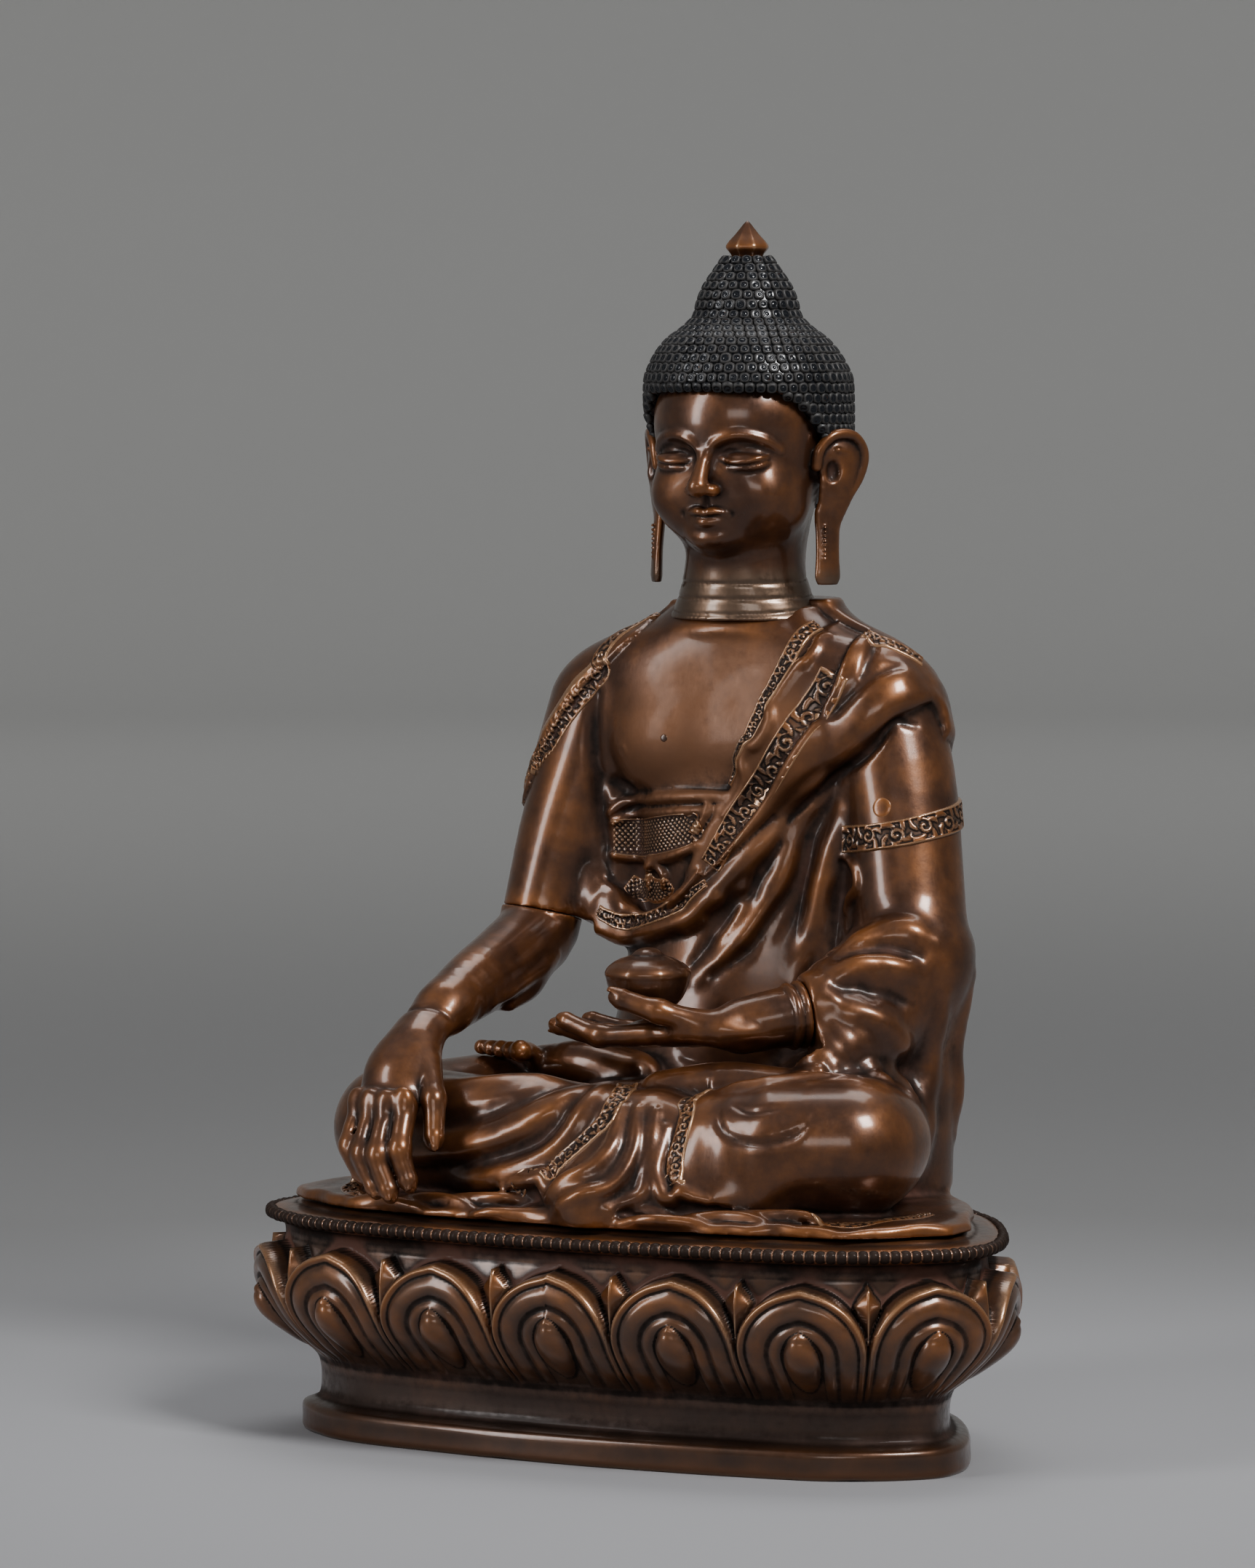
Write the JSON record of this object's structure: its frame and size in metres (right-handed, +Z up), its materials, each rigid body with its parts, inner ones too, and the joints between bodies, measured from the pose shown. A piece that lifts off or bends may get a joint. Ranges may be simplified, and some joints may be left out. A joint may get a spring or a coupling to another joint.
{
  "type": "seated buddha statue",
  "caption": "Seated robed figure cast in copper, one hand reaching to the seat and one holding a bowl, on an oval lotus throne with a beaded rim.",
  "frame": {"origin": "under the middle of the throne's foot, on the surface it stands on", "axes": "+Z up, the figure faces -Y, +X towards the figure's own left hand"},
  "size_m": [0.1436, 0.0947, 0.2102],
  "materials": {
    "copper_patina": "glossy brown patina, rubbed to copper on the high edges",
    "hair_paint": "semi-gloss black paint, dusty in the grooves",
    "sheet_copper": "bare sheet and wire, dulled"
  },
  "bodies": {
    "root": {"throne_casting": "copper_patina", "base_plate": "sheet_copper", "body_casting": "copper_patina", "head_casting": "copper_patina", "finial_jewel": "copper_patina", "right_forearm_casting": "copper_patina", "left_hand_casting": "copper_patina", "alms_bowl": "copper_patina", "bowl_peg": "sheet_copper", "neck_rivet": "copper_patina", "elbow_rivet": "copper_patina", "wrist_rivet": "copper_patina", "core_plug_chest": "copper_patina", "core_plug_left_arm": "copper_patina", "core_plug_back": "copper_patina", "front_wedge": "sheet_copper", "rear_wedge": "sheet_copper"}
  },
  "joints": []
}
